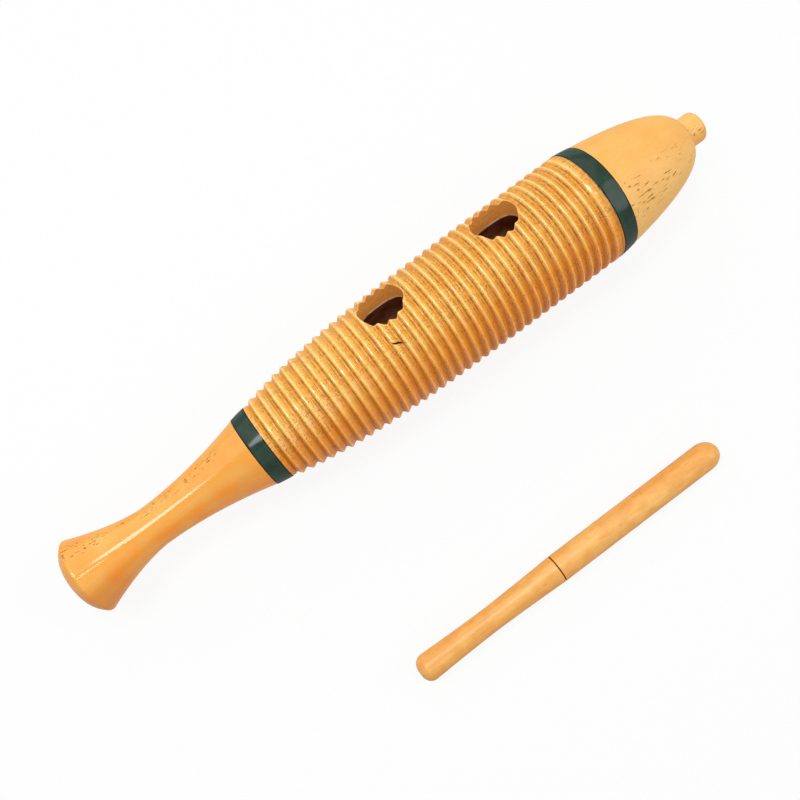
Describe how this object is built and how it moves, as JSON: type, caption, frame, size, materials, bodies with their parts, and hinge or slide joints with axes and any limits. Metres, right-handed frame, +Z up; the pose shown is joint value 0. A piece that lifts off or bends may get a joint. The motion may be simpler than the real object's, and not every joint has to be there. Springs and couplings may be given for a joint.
{
  "type": "fish guiro",
  "caption": "Turned wooden fish-shaped guiro: hollow ribbed barrel with finger holes, flared tail, rounded head, green bands, and a loose wooden scraper stick lying beside it.",
  "frame": {"origin": "on the table, under the middle of the box round the guiro and its scraper", "axes": "+X from the guiro's tail towards its head, +Y from the scraper towards the guiro, +Z up"},
  "size_m": [0.4026, 0.1795, 0.0651],
  "materials": {
    "barrel_wood": "lacquered",
    "tail_wood": "gloss lacquer",
    "head_wood": "satin lacquer",
    "button_wood": "satin lacquer",
    "green_band": "gloss",
    "rod_wood": "satin lacquer",
    "grip_wood": "satin lacquer"
  },
  "bodies": {
    "guiro": {"barrel": "barrel_wood", "tail": "tail_wood", "head": "head_wood", "mouth_button": "button_wood", "rear_band": "green_band", "front_band": "green_band"},
    "scraper": {"scraper_rod": "rod_wood", "scraper_grip": "grip_wood"}
  },
  "joints": [
    {"name": "scraper_stroke", "type": "slide", "parent": "guiro", "child": "scraper", "axis": [1, 0, 0], "range_m": [-0.1, 0.1]}
  ]
}
